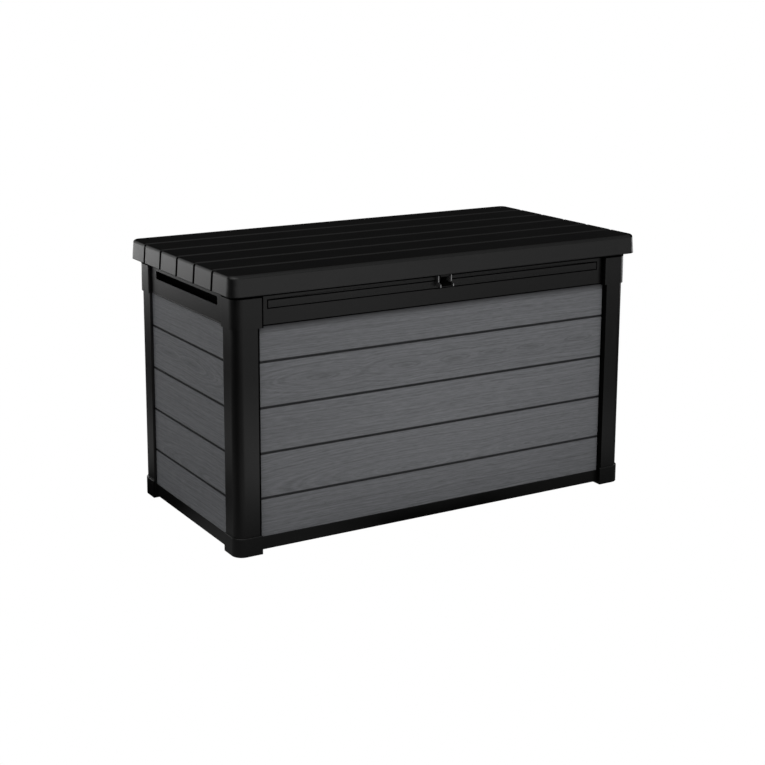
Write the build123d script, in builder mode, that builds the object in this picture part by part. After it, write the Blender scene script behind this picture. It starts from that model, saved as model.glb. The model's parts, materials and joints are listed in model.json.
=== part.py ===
from build123d import *
from math import asin, cos, degrees, radians, sin, tan
import os

# Deck storage box: a tray on four feet, four corner posts that hold plank panels,
# top rails, and a planked lid on rear hinges with two gas struts.
# Millimetres. Origin at the middle of the ground below the box, +Z up, front towards -Y.

# Box body
body_width = 1448.0
body_depth = 706.0
joint_gap = 0.2
seat_gap = 0.3

# Corner posts
post_face_back = 83.0
post_face_side = 80.5
post_leg = 38.0
post_wall = 4.0
post_corner_radius = 30.0
post_edge_radius = 4.0

# Wall panels
panel_seat_height = 27.5
plank_pitch = 139.9
plank_count = 5
plank_groove_width = 6.0
plank_groove_depth = 6.0
panel_thickness = 16.0
panel_recess_front = 16.3
panel_recess_side = 8.6
panel_insert = 20.0
panel_skin = 4.0
panel_rib = 4.0
panel_cells_long = 8
panel_cells_end = 4

# Base tray
floor_clearance = 9.0
tray_lap = 20.9
tray_proud = 4.5
tray_proud_side = 1.8
tray_lip = 4.0
tray_floor = 4.0
tray_rib_height = 13.0
tray_rib_thickness = 4.0
tray_cells_x = 11
tray_cells_y = 5

# Corner feet
foot_height = 59.0
foot_proud = 4.5
foot_toe = 34.0
foot_edge_radius = 2.0
foot_web_radius = 7.0

# Post collars
collar_proud = 4.5
collar_lip = 11.0
collar_lip_side = 1.0
collar_drop = 1.5
collar_rise = 8.5
collar_edge_radius = 4.0

# Top rails
rail_lap = 30.6
rail_height = 133.6
rail_proud_front = 6.0
rail_proud_side = 3.5
rail_wall = 4.0
side_rail_depth = 32.0
pocket_sill = 40.5
handle_length = 460.0
handle_height = 26.5
handle_sill = 52.0
handle_corner_radius = 6.0
rail_bead_radius = 2.0
inset_margin = 18.5
inset_sill = 50.3
inset_height = 27.7
inset_line = 3.0
inset_depth = 2.0

# Lid
lid_overhang_side = 25.2
lid_overhang_front = 27.8
lid_skirt = 63.2
lid_draft = 4.2
lid_corner_radius = 32.0
lid_edge_radius = 11.5
lid_rim_radius = 3.0
lid_wall = 5.0
lid_deck = 7.0
lid_plank_count = 6
lid_groove_width = 14.0
lid_groove_depth = 3.0
lid_groove_flare = 3.0
lid_groove_wall = 4.0
lid_end_groove_depth = 5.5
lid_groove_edge_radius = 6.0
lid_rib_height = 16.0
lid_rib_thickness = 4.0
lid_cross_ribs = 5
lid_boss_radius = 6.0
liner_thickness = 3.0
liner_gap = 0.8
liner_pad_height = 4.0
liner_pad_margin = 90.0
liner_pad_spacing = 40.0
liner_pad_radius = 22.0
liner_pads_x = 4
liner_pads_y = 2
bumper_height = 4.0
bumper_radius = 8.0
bumper_inset = 180.0

# Hinges
hinge_spacing = 480.0
hinge_offset = 22.0
hinge_drop = 8.5
hinge_knuckle_radius = 7.5
hinge_box_knuckle = 26.0
hinge_lid_knuckle = 30.0
hinge_end_gap = 1.0
hinge_leaf = 4.0
hinge_leaf_drop = 52.0
hinge_leaf_top_gap = 2.0
hinge_screw_pitch = 16.0
hinge_block_margin = 5.0
hinge_block_rise = 2.5
hinge_pin_radius = 3.5
hinge_pin_head_radius = 5.5
hinge_pin_head = 2.0
pivot_clearance = 0.05

# Padlock bracket and tongue
lock_rise = 78.0
lock_width = 50.0
lock_plate_height = 38.0
lock_sheet = 3.0
lock_cheek_depth = 14.0
lock_cheek_radius = 6.0
lock_foot_height = 8.0
lock_foot_slope = 6.0
lock_bore_radius = 4.5
lock_bore_back = 2.0
lock_bore_wall = 4.0
tongue_gap = 3.5
tongue_width = 30.0
tongue_waist = 15.0
tongue_waist_height = 8.0
tongue_slope = 4.0
tongue_toe = 10.0
tongue_thickness = 5.0
tongue_flange = 6.0
tongue_flange_width = 60.0
tongue_flange_depth = 16.0
tongue_flange_back = 2.5

# Gas struts
lid_opening = 85.0
strut_arm = 340.0
strut_spread = 70.0
strut_inset = 16.5
strut_lid_drop = 19.0
strut_tube_radius = 9.0
strut_tube_gap = 20.0
strut_tube_wall = 1.5
strut_tube_cap = 6.0
strut_guide = 16.0
strut_rod_radius = 4.0
strut_piston_length = 10.0
strut_piston_margin = 6.0
strut_clearance = 0.3
strut_eye_radius = 8.0
strut_eye_width = 8.0
strut_neck_radius = 3.5
strut_tube_eye_reach = 24.0
strut_rod_eye_reach = 16.0
strut_stud_radius = 4.0
strut_shoulder_radius = 7.0
strut_shoulder_gap = 0.5
strut_stud_head = 2.5
bracket_plate = 3.0
bracket_width = 50.0
bracket_height = 76.0
bracket_lug_margin = 4.0

# Screws
screw_radius = 2.0
screw_head_radius = 4.0
screw_head = 2.5
screw_length = 12.0
screw_margin = 8.0
thread_gap = 0.05

# Heights of the assembly, from the ground up
half_width = body_width / 2
half_depth = body_depth / 2
tray_bottom = floor_clearance
tray_floor_bottom = tray_bottom + tray_rib_height
tray_floor_top = tray_floor_bottom + tray_floor
tray_top = panel_seat_height + tray_lap
panel_top = panel_seat_height + plank_count * plank_pitch
rail_bottom = panel_top - rail_lap
rail_top = rail_bottom + rail_height
liner_bottom = rail_top + bumper_height
liner_top = liner_bottom + liner_thickness
deck_bottom = liner_top + lid_rib_height
lid_top_height = deck_bottom + lid_deck
skirt_bottom = lid_top_height - lid_skirt

# Planes of the walls, measured from the middle of the box
post_inner_x = half_width - post_face_back
post_inner_y = half_depth - post_face_side
panel_y = half_depth - panel_recess_front
panel_x = half_width - panel_recess_side
panel_back_y = panel_y - panel_thickness
panel_back_x = panel_x - panel_thickness
tray_y = panel_y + tray_proud
tray_x = panel_x + tray_proud_side
rail_y = panel_y + rail_proud_front
rail_x = panel_x + rail_proud_side
rail_back_y = panel_back_y - seat_gap - rail_wall
rail_back_x = rail_x - side_rail_depth
collar_inner_x = post_inner_x - collar_lip
collar_inner_y = post_inner_y - collar_lip_side
lid_width = body_width + 2 * lid_overhang_side
lid_depth = body_depth + 2 * lid_overhang_front


# How far the drafted skirt has moved in at a given height
def skirt_draft(height):
    return (height - skirt_bottom) * tan(radians(lid_draft))


# Hinge axis and the strut pivots, which lie on one circle round that axis
hinge_y = rail_y + hinge_offset
hinge_z = skirt_bottom - hinge_drop
strut_lid_z = liner_bottom - strut_lid_drop
strut_lid_angle = degrees(asin((strut_lid_z - hinge_z) / strut_arm))
strut_box_angle = strut_spread - strut_lid_angle
strut_lid_y = hinge_y - strut_arm * cos(radians(strut_lid_angle))
strut_box_y = hinge_y - strut_arm * cos(radians(strut_box_angle))
strut_box_z = hinge_z - strut_arm * sin(radians(strut_box_angle))
strut_x = half_width - post_leg - strut_inset
strut_closed = 2 * strut_arm * sin(radians(strut_spread / 2))
strut_open = 2 * strut_arm * sin(radians((strut_spread + lid_opening) / 2))
strut_tube_length = strut_closed - strut_tube_eye_reach - strut_rod_eye_reach - strut_tube_gap
strut_guide_reach = strut_tube_eye_reach + strut_tube_length - strut_guide
strut_rod_length = strut_open - strut_guide_reach + strut_piston_margin + strut_piston_length

centred_down = (Align.CENTER, Align.CENTER, Align.MAX)
centred_up = (Align.CENTER, Align.CENTER, Align.MIN)

os.makedirs("parts", exist_ok=True)


def write_piece(piece, name):
    piece.part.label = name
    export_step(piece.part, f"parts/{name}.step")


# Writes a piece that was made on the right and its mirror image on the left
def write_pair(piece, name):
    with BuildPart() as left:
        mirror(piece.part, about=Plane.YZ)
    write_piece(piece, f"{name}_right")
    write_piece(left, f"{name}_left")


# Writes a piece that was made at the back right corner, and its images at the other three
def write_corners(piece, name):
    with BuildPart() as back_left:
        mirror(piece.part, about=Plane.YZ)
    with BuildPart() as front_right:
        mirror(piece.part, about=Plane.XZ)
    with BuildPart() as front_left:
        mirror(front_right.part, about=Plane.YZ)
    write_piece(piece, f"{name}_back_right")
    write_piece(back_left, f"{name}_back_left")
    write_piece(front_right, f"{name}_front_right")
    write_piece(front_left, f"{name}_front_left")


# Writes one node of screws, whose heads sit on the given planes
def write_screws(name, seats, length=screw_length):
    with BuildPart() as screws:
        with Locations(*seats):
            Cylinder(screw_head_radius, screw_head, align=centred_up)
            Cylinder(screw_radius, length, align=centred_down)
    write_piece(screws, name)


# Cuts the holes for screws that stand on the given planes
def drill(seats, depth=screw_length):
    with Locations(*seats):
        Hole(screw_radius + thread_gap, depth=depth + thread_gap)


# L-shaped outline of a post at the back right corner
def post_outline(inset):
    outer_x = half_width - inset
    outer_y = half_depth - inset
    with BuildLine() as outline:
        Polyline(
            (post_inner_x + inset, outer_y),
            (outer_x, outer_y),
            (outer_x, post_inner_y + inset),
            (half_width - post_leg + inset, post_inner_y + inset),
            (half_width - post_leg + inset, half_depth - post_leg + inset),
            (post_inner_x + inset, half_depth - post_leg + inset),
            close=True,
        )
    make_face(outline.edges())


# Rounds the outer corner of an outline at the back right corner
def round_outer_corner(sketch, radius):
    corner = sketch.vertices().sort_by(lambda v: v.X + v.Y)[-1]
    fillet(corner, radius)


# Rounds the two ends of an L-shaped outline, beside the panels
def round_lips(sketch, radius):
    back_lip = sketch.vertices().group_by(Axis.Y)[-1].sort_by(Axis.X)[0]
    side_lip = sketch.vertices().group_by(Axis.X)[-1].sort_by(Axis.Y)[0]
    fillet([back_lip, side_lip], radius)


# Post envelope, cut out of what surrounds a post
with BuildPart() as post_envelope:
    with BuildSketch(Plane.XY) as post_envelope_plan:
        post_outline(-joint_gap)
        round_outer_corner(post_envelope_plan, post_corner_radius + joint_gap)
    extrude(amount=lid_top_height)

# Corner posts, hollow, open along the edges that take the panels
with BuildPart() as corner_post:
    with BuildSketch(Plane.XY.offset(floor_clearance)) as post_plan:
        post_outline(0)
        round_lips(post_plan, post_edge_radius)
        round_outer_corner(post_plan, post_corner_radius)
    extrude(amount=rail_top - floor_clearance)
    with BuildSketch(Plane.XY.offset(floor_clearance)) as post_hollow:
        post_outline(post_wall)
        round_outer_corner(post_hollow, post_corner_radius - post_wall)
    extrude(amount=rail_top - floor_clearance - post_wall, mode=Mode.SUBTRACT)
    with BuildSketch(Plane.XY.offset(floor_clearance)):
        with Locations((post_inner_x, panel_back_y - seat_gap)):
            Rectangle(2 * post_wall, panel_thickness + 2 * seat_gap, align=(Align.CENTER, Align.MIN))
        with Locations((panel_back_x - seat_gap, post_inner_y)):
            Rectangle(panel_thickness + 2 * seat_gap, 2 * post_wall, align=(Align.MIN, Align.CENTER))
    extrude(amount=panel_top + seat_gap - floor_clearance, mode=Mode.SUBTRACT)
write_corners(corner_post, "corner_post")

# Screws that hold the tray to the toes of the feet, seen from below
foot_screw_points = [
    (post_inner_x - foot_toe / 2, half_depth - post_leg - foot_toe / 2),
    (half_width - post_leg - foot_toe / 2, post_inner_y - foot_toe / 2),
]
foot_seats = [
    Plane(origin=(sx * x, sy * y, 0), z_dir=(0, 0, -1))
    for sx in (-1, 1)
    for sy in (-1, 1)
    for x, y in foot_screw_points
]

# Corner feet: a boot round the post, with a toe plate and hollow-rounded webs that carry the tray
with BuildPart() as corner_foot:
    with BuildSketch(Plane.XY) as foot_plan:
        with Locations((half_width + foot_proud, half_depth + foot_proud)):
            Rectangle(
                post_face_back + foot_proud,
                post_face_side + foot_proud,
                align=(Align.MAX, Align.MAX),
            )
        round_outer_corner(foot_plan, post_corner_radius + foot_proud)
    extrude(amount=foot_height)
    foot_rims = corner_foot.edges().group_by(Axis.Z)
    fillet(foot_rims[0] + foot_rims[-1], foot_edge_radius)
    with BuildSketch(Plane.XY.offset(floor_clearance)):
        with Locations((half_width - post_leg, half_depth - post_leg)):
            Rectangle(post_face_back, post_face_side, align=(Align.MAX, Align.MAX))
    extrude(amount=foot_height, mode=Mode.SUBTRACT)
    with BuildSketch(Plane.XY):
        with Locations((panel_back_x, panel_back_y)):
            Rectangle(
                panel_back_x - post_inner_x + foot_toe,
                panel_back_y - post_inner_y + foot_toe,
                align=(Align.MAX, Align.MAX),
            )
    extrude(amount=floor_clearance)
    with BuildSketch(Plane.XZ.offset(-tray_y)):
        with Locations((post_inner_x, floor_clearance)):
            Rectangle(foot_web_radius, foot_web_radius, align=(Align.MAX, Align.MAX))
        with Locations((post_inner_x - foot_web_radius, floor_clearance - foot_web_radius)):
            Circle(foot_web_radius, mode=Mode.SUBTRACT)
    extrude(amount=tray_y - panel_back_y)
    with BuildSketch(Plane.YZ.offset(tray_x)):
        with Locations((post_inner_y, floor_clearance)):
            Rectangle(foot_web_radius, foot_web_radius, align=(Align.MAX, Align.MAX))
        with Locations((post_inner_y - foot_web_radius, floor_clearance - foot_web_radius)):
            Circle(foot_web_radius, mode=Mode.SUBTRACT)
    extrude(amount=panel_back_x - tray_x)
    add(post_envelope.part.moved(Location((0, 0, floor_clearance))), mode=Mode.SUBTRACT)
    with Locations(*foot_seats):
        CounterSinkHole(
            screw_radius + thread_gap,
            screw_head_radius + thread_gap,
            depth=floor_clearance,
            counter_sink_angle=90,
        )
write_corners(corner_foot, "corner_foot")

# Countersunk screws of the feet, flush with the sole
with BuildPart() as foot_screws:
    with Locations(*foot_seats):
        Cylinder(screw_radius, floor_clearance + screw_length, align=centred_down)
        Cone(
            screw_radius,
            screw_head_radius,
            screw_head_radius - screw_radius,
            align=centred_down,
        )
write_piece(foot_screws, "foot_screws")

# Base tray: a floor on ribs, with a rim that seats the panels
with BuildPart() as base_tray:
    with BuildSketch(Plane.XY.offset(tray_bottom)):
        Rectangle(2 * tray_x, 2 * tray_y)
    extrude(amount=tray_top - tray_bottom)
    with BuildSketch(Plane.XY.offset(tray_floor_top)):
        Rectangle(
            2 * (panel_back_x - seat_gap - tray_lip),
            2 * (panel_back_y - seat_gap - tray_lip),
        )
    extrude(amount=tray_top, mode=Mode.SUBTRACT)
    with BuildSketch(Plane.XY.offset(panel_seat_height)):
        Rectangle(2 * (panel_x + seat_gap), 2 * (panel_y + seat_gap))
        Rectangle(
            2 * (panel_back_x - seat_gap),
            2 * (panel_back_y - seat_gap),
            mode=Mode.SUBTRACT,
        )
    extrude(amount=tray_top, mode=Mode.SUBTRACT)
    cell_pitch_x = 2 * tray_x / tray_cells_x
    cell_pitch_y = 2 * tray_y / tray_cells_y
    cells = [
        ((i - (tray_cells_x - 1) / 2) * cell_pitch_x, (j - (tray_cells_y - 1) / 2) * cell_pitch_y)
        for i in range(tray_cells_x)
        for j in range(tray_cells_y)
    ]
    clear_x = post_inner_x - foot_toe - tray_rib_thickness
    clear_y = post_inner_y - foot_toe - tray_rib_thickness
    open_cells = [
        cell
        for cell in cells
        if abs(cell[0]) + cell_pitch_x / 2 < clear_x or abs(cell[1]) + cell_pitch_y / 2 < clear_y
    ]
    with BuildSketch(Plane.XY.offset(tray_bottom)):
        with Locations(*open_cells):
            Rectangle(cell_pitch_x - tray_rib_thickness, cell_pitch_y - tray_rib_thickness)
    extrude(amount=tray_rib_height, mode=Mode.SUBTRACT)
    for about in ((), (Plane.YZ,), (Plane.XZ,), (Plane.YZ, Plane.XZ)):
        notch = post_envelope.part
        for plane in about:
            notch = notch.mirror(plane)
        add(notch, mode=Mode.SUBTRACT)
    drill(foot_seats, floor_clearance + screw_length)
write_piece(base_tray, "base_tray")


# Heights of the grooves between the planks of a wall panel
groove_heights = [panel_seat_height + (i + 1) * plank_pitch for i in range(plank_count - 1)]

# Rows of cells in the back of a panel, one behind each plank, clear of the tray and the rail
panel_cell_depth = panel_thickness - panel_skin
groove_rib = plank_groove_width + 2 * panel_skin
cell_floors = [tray_top + panel_rib] + [height + groove_rib / 2 for height in groove_heights]
cell_roofs = [height - groove_rib / 2 for height in groove_heights] + [rail_bottom - panel_rib]

# Screws of the strut brackets on the end panels
strut_bracket_face = panel_back_x - bracket_plate
strut_box_seats = [
    Plane(
        origin=(
            strut_bracket_face,
            strut_box_y + sy * (bracket_width / 2 - screw_margin),
            strut_box_z + sz * (bracket_height / 2 - screw_margin),
        ),
        z_dir=(-1, 0, 0),
    )
    for sy in (-1, 1)
    for sz in (-1, 1)
]

# Front and back panels
panel_half_x = post_inner_x + panel_insert
long_cell_pitch = 2 * post_inner_x / panel_cells_long
long_cells = [(i - (panel_cells_long - 1) / 2) * long_cell_pitch for i in range(panel_cells_long)]
for side, name in ((-1, "front_panel"), (1, "back_panel")):
    with BuildPart() as long_panel:
        with BuildSketch(Plane.XY.offset(panel_seat_height)):
            with Locations((0, side * (panel_y - panel_thickness / 2))):
                Rectangle(2 * panel_half_x, panel_thickness)
        extrude(amount=panel_top - panel_seat_height)
        with Locations(*[(0, side * panel_y, height) for height in groove_heights]):
            Box(
                2 * panel_half_x,
                2 * plank_groove_depth,
                plank_groove_width,
                mode=Mode.SUBTRACT,
            )
        for floor, roof in zip(cell_floors, cell_roofs):
            with Locations(*[(x, side * panel_back_y, (floor + roof) / 2) for x in long_cells]):
                Box(
                    long_cell_pitch - panel_rib,
                    2 * panel_cell_depth,
                    roof - floor,
                    mode=Mode.SUBTRACT,
                )
    write_piece(long_panel, name)

# Left and right panels, with a pad behind each strut bracket
end_cell_pitch = 2 * post_inner_y / panel_cells_end
end_cells = [(i - (panel_cells_end - 1) / 2) * end_cell_pitch for i in range(panel_cells_end)]
with BuildPart() as end_panel:
    with BuildSketch(Plane.XY.offset(panel_seat_height)):
        with Locations((panel_x - panel_thickness / 2, 0)):
            Rectangle(panel_thickness, 2 * (post_inner_y + panel_insert))
    extrude(amount=panel_top - panel_seat_height)
    with Locations(*[(panel_x, 0, height) for height in groove_heights]):
        Box(
            2 * plank_groove_depth,
            2 * (post_inner_y + panel_insert),
            plank_groove_width,
            mode=Mode.SUBTRACT,
        )
    for floor, roof in zip(cell_floors, cell_roofs):
        with Locations(*[(panel_back_x, y, (floor + roof) / 2) for y in end_cells]):
            Box(
                2 * panel_cell_depth,
                end_cell_pitch - panel_rib,
                roof - floor,
                mode=Mode.SUBTRACT,
            )
    with BuildSketch(Plane.YZ.offset(panel_back_x)):
        with Locations((strut_box_y, strut_box_z)):
            Rectangle(bracket_width + 2 * panel_rib, bracket_height + 2 * panel_rib)
    extrude(amount=panel_cell_depth)
    drill(strut_box_seats)
write_pair(end_panel, "end_panel")

# Post collars: sleeves round the upper ends of the posts, lapping over the rails
with BuildPart() as post_collar:
    with BuildSketch(Plane.XY.offset(rail_bottom - collar_drop)) as collar_plan:
        outer_x = half_width + collar_proud
        outer_y = half_depth + collar_proud
        with BuildLine():
            Polyline(
                (collar_inner_x, outer_y),
                (outer_x, outer_y),
                (outer_x, collar_inner_y),
                (rail_x + joint_gap, collar_inner_y),
                (rail_x + joint_gap, rail_y + joint_gap),
                (collar_inner_x, rail_y + joint_gap),
                close=True,
            )
        make_face()
        round_lips(collar_plan, collar_edge_radius)
        round_outer_corner(collar_plan, post_corner_radius + collar_proud)
    extrude(amount=skirt_bottom + collar_rise - rail_bottom + collar_drop)
    add(post_envelope.part, mode=Mode.SUBTRACT)
write_corners(post_collar, "post_collar")

# Hinges stand at equal steps along the back rail
hinge_places = {"left": -hinge_spacing, "middle": 0.0, "right": hinge_spacing}
hinge_width = 2 * hinge_box_knuckle + 2 * hinge_end_gap + hinge_lid_knuckle
hinge_leaf_bottom = hinge_z - hinge_leaf_drop
hinge_leaf_top = liner_bottom - hinge_leaf_top_gap
hinge_box_screw_row = hinge_leaf_bottom + screw_margin
hinge_lid_screw_row = hinge_leaf_top - screw_margin
hinge_box_seats = [
    Plane(
        origin=(x + sx * (hinge_width / 2 - screw_margin), rail_y + hinge_leaf, height),
        z_dir=(0, 1, 0),
    )
    for x in hinge_places.values()
    for sx in (-1, 1)
    for height in (hinge_box_screw_row, hinge_box_screw_row + hinge_screw_pitch)
]
hinge_lid_seats = [
    Plane(
        origin=(x + sx * (hinge_width / 2 - screw_margin), hinge_y - hinge_leaf / 2, height),
        z_dir=(0, -1, 0),
    )
    for x in hinge_places.values()
    for sx in (-1, 1)
    for height in (hinge_lid_screw_row, hinge_lid_screw_row - hinge_screw_pitch)
]

# Padlock bracket screws, one above the other behind the tongue
lock_height = rail_bottom + lock_rise
lock_face_y = rail_y + lock_sheet
lock_seats = [
    Plane(origin=(0, -lock_face_y, lock_height + side * (lock_plate_height / 2 - screw_margin)),
          z_dir=(0, -1, 0))
    for side in (-1, 1)
]


# Inverted channel that sits on the upper edge of the front (-1) or back (1) panel
def rail_channel(side):
    with BuildPart() as channel:
        with BuildSketch(Plane.XY.offset(rail_bottom)):
            with Locations((0, side * (rail_y + rail_back_y) / 2)):
                Rectangle(2 * (post_inner_x - joint_gap), rail_y - rail_back_y)
        extrude(amount=rail_height)
        with BuildSketch(Plane.XY.offset(rail_bottom)):
            with Locations((0, side * (panel_y - panel_thickness / 2))):
                Rectangle(2 * post_inner_x, panel_thickness + 2 * seat_gap)
        extrude(amount=rail_height - rail_wall, mode=Mode.SUBTRACT)
    return channel.part


# Front rail, with an engraved outline along its face
with BuildPart() as front_rail:
    add(rail_channel(-1))
    with BuildSketch(Plane.XZ.offset(rail_y - inset_depth)):
        with Locations((0, rail_bottom + inset_sill + inset_height / 2)):
            Rectangle(2 * (collar_inner_x - inset_margin), inset_height)
            Rectangle(
                2 * (collar_inner_x - inset_margin - inset_line),
                inset_height - 2 * inset_line,
                mode=Mode.SUBTRACT,
            )
    extrude(amount=2 * inset_depth, mode=Mode.SUBTRACT)
    drill(lock_seats)
write_piece(front_rail, "front_rail")

# Back rail, plain, with the holes of the hinges
with BuildPart() as back_rail:
    add(rail_channel(1))
    drill(hinge_box_seats)
write_piece(back_rail, "back_rail")

# End rails: a hand pocket above the panel seat, open through a long slot, and a bead below it
end_rail_half = post_inner_y - joint_gap
with BuildPart() as end_rail:
    with BuildSketch(Plane.XY.offset(rail_bottom)):
        with Locations((rail_x - side_rail_depth / 2, 0)):
            Rectangle(side_rail_depth, 2 * end_rail_half)
    extrude(amount=rail_height)
    with BuildSketch(Plane.XY.offset(rail_bottom)):
        with Locations((panel_x - panel_thickness / 2, 0)):
            Rectangle(panel_thickness + 2 * seat_gap, 2 * post_inner_y)
    extrude(amount=rail_lap + seat_gap, mode=Mode.SUBTRACT)
    with BuildSketch(Plane.XY.offset(rail_bottom + pocket_sill)):
        with Locations((panel_x + seat_gap, 0)):
            Rectangle(
                panel_x + seat_gap - rail_back_x - rail_wall,
                2 * (end_rail_half - rail_wall),
                align=(Align.MAX, Align.CENTER),
            )
    extrude(amount=rail_height - pocket_sill - rail_wall, mode=Mode.SUBTRACT)
    with BuildSketch(Plane.YZ.offset(panel_x)):
        with Locations((0, rail_bottom + handle_sill + handle_height / 2)):
            RectangleRounded(handle_length, handle_height, handle_corner_radius)
    extrude(amount=side_rail_depth, mode=Mode.SUBTRACT)
    with BuildSketch(Plane.XZ):
        with Locations((rail_x, rail_bottom + rail_bead_radius)):
            Circle(rail_bead_radius)
    extrude(amount=collar_inner_y - joint_gap, both=True)
write_pair(end_rail, "end_rail")

# Hinges: a leaf on the back rail, a leaf on the lid, and a headed pin
hinge_bore = hinge_pin_radius + pivot_clearance
for place, x in hinge_places.items():
    hinge_start = x - hinge_width / 2
    with BuildPart() as box_leaf:
        with BuildSketch(Plane.YZ.offset(hinge_start)):
            with Locations((rail_y, hinge_leaf_bottom)):
                Rectangle(
                    hinge_leaf,
                    hinge_leaf_drop,
                    align=(Align.MIN, Align.MIN),
                )
        extrude(amount=hinge_width)
        for knuckle_start in (hinge_start, x + hinge_width / 2 - hinge_box_knuckle):
            with BuildSketch(Plane.YZ.offset(knuckle_start)):
                with Locations((hinge_y, hinge_z)):
                    Circle(hinge_knuckle_radius)
                with BuildLine():
                    Polyline(
                        (rail_y, hinge_z - 2 * hinge_knuckle_radius),
                        (hinge_y, hinge_z - hinge_knuckle_radius),
                        (hinge_y, hinge_z),
                        (rail_y, hinge_z),
                        close=True,
                    )
                make_face()
            extrude(amount=hinge_box_knuckle)
        with BuildSketch(Plane.YZ.offset(hinge_start)):
            with Locations((hinge_y, hinge_z)):
                Circle(hinge_bore)
        extrude(amount=hinge_width, mode=Mode.SUBTRACT)
        drill(hinge_box_seats)
    write_piece(box_leaf, f"hinge_box_leaf_{place}")

    with BuildPart() as lid_leaf:
        with BuildSketch(Plane.YZ.offset(hinge_start)):
            with Locations((hinge_y, hinge_leaf_top)):
                Rectangle(
                    hinge_leaf,
                    hinge_leaf_top - hinge_z - hinge_knuckle_radius - hinge_end_gap,
                    align=(Align.CENTER, Align.MAX),
                )
        extrude(amount=hinge_width)
        with BuildSketch(Plane.YZ.offset(x - hinge_lid_knuckle / 2)):
            with Locations((hinge_y, hinge_z)):
                Circle(hinge_knuckle_radius)
                Rectangle(
                    hinge_leaf,
                    hinge_leaf_top - hinge_z,
                    align=(Align.CENTER, Align.MIN),
                )
        extrude(amount=hinge_lid_knuckle)
        with BuildSketch(Plane.YZ.offset(hinge_start)):
            with Locations((hinge_y, hinge_z)):
                Circle(hinge_bore)
        extrude(amount=hinge_width, mode=Mode.SUBTRACT)
        drill(hinge_lid_seats)
    write_piece(lid_leaf, f"hinge_lid_leaf_{place}")

    with BuildPart() as hinge_pin:
        with BuildSketch(Plane.YZ.offset(hinge_start - hinge_pin_head)):
            with Locations((hinge_y, hinge_z)):
                Circle(hinge_pin_radius)
        extrude(amount=hinge_width + 2 * hinge_pin_head)
        with BuildSketch(Plane.YZ.offset(hinge_start - hinge_pin_head)):
            with Locations((hinge_y, hinge_z)):
                Circle(hinge_pin_head_radius)
        extrude(amount=hinge_pin_head)
    write_piece(hinge_pin, f"hinge_pin_{place}")

write_screws("hinge_box_screws", hinge_box_seats)
write_screws("hinge_lid_screws", hinge_lid_seats)

# Padlock bracket: a back plate, two cheeks and a shelf with the bore
lock_bottom = lock_height - lock_plate_height / 2
lock_top = lock_height + lock_plate_height / 2
lock_cheek_y = -(rail_y + lock_cheek_depth)
tongue_back_y = -(lock_face_y + tongue_gap)
lock_bore_y = tongue_back_y - tongue_thickness - lock_bore_back - lock_bore_radius
lock_shelf_y = lock_bore_y - lock_bore_radius - lock_bore_wall
with BuildPart() as lock_bracket:
    with BuildSketch(Plane.YZ) as lock_side:
        with BuildLine():
            Polyline(
                (-rail_y, lock_bottom),
                (lock_shelf_y, lock_bottom),
                (lock_shelf_y, lock_bottom + lock_foot_height),
                (lock_cheek_y, lock_bottom + lock_foot_height + lock_foot_slope),
                (lock_cheek_y, lock_top),
                (-rail_y, lock_top),
                close=True,
            )
        make_face()
        fillet(lock_side.vertices().group_by(Axis.Y)[-1].sort_by(Axis.X)[0], lock_cheek_radius)
    extrude(amount=lock_width / 2, both=True)
    with BuildSketch(Plane.XZ.offset(lock_face_y)):
        with Locations((0, lock_bottom + lock_sheet)):
            Rectangle(lock_width - 2 * lock_sheet, lock_plate_height, align=(Align.CENTER, Align.MIN))
    extrude(amount=-lock_shelf_y, mode=Mode.SUBTRACT)
    with BuildSketch(Plane.XY.offset(lock_bottom)):
        with Locations((0, lock_bore_y)):
            Circle(lock_bore_radius)
    extrude(amount=lock_sheet, mode=Mode.SUBTRACT)
    drill(lock_seats)
write_piece(lock_bracket, "lock_bracket")
write_screws("lock_screws", lock_seats)

# Tongue of the lid, which drops between the cheeks; its toe has the bore of the shelf
tongue_flange_y = tongue_back_y + tongue_flange_back - tongue_flange_depth
toe_bottom = lock_bottom + lock_sheet + seat_gap
toe_top = toe_bottom + tongue_toe
waist_bottom = toe_top + tongue_slope
waist_top = waist_bottom + tongue_waist_height
tongue_seats = [
    Plane(
        origin=(side * (tongue_flange_width / 2 - screw_margin), tongue_flange_y + tongue_flange_depth / 2,
                liner_bottom - tongue_flange),
        z_dir=(0, 0, -1),
    )
    for side in (-1, 1)
]
with BuildPart() as lock_tongue:
    with BuildSketch(Plane.XZ.offset(-tongue_back_y)):
        with BuildLine():
            Polyline(
                (-tongue_width / 2, liner_bottom),
                (-tongue_width / 2, waist_top + tongue_slope),
                (-tongue_waist / 2, waist_top),
                (-tongue_waist / 2, waist_bottom),
                (-tongue_width / 2, toe_top),
                (-tongue_width / 2, toe_bottom),
                (tongue_width / 2, toe_bottom),
                (tongue_width / 2, toe_top),
                (tongue_waist / 2, waist_bottom),
                (tongue_waist / 2, waist_top),
                (tongue_width / 2, waist_top + tongue_slope),
                (tongue_width / 2, liner_bottom),
                close=True,
            )
        make_face()
    extrude(amount=tongue_thickness)
    with BuildSketch(Plane.XZ.offset(-tongue_back_y)):
        with Locations((0, toe_bottom)):
            Rectangle(tongue_width, tongue_toe, align=(Align.CENTER, Align.MIN))
    extrude(amount=tongue_back_y - lock_shelf_y)
    with BuildSketch(Plane.XY.offset(liner_bottom)):
        with Locations((0, tongue_flange_y)):
            Rectangle(tongue_flange_width, tongue_flange_depth, align=(Align.CENTER, Align.MIN))
    extrude(amount=-tongue_flange)
    with BuildSketch(Plane.XY.offset(toe_bottom)):
        with Locations((0, lock_bore_y)):
            Circle(lock_bore_radius)
    extrude(amount=tongue_toe, mode=Mode.SUBTRACT)
    drill(tongue_seats)
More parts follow.
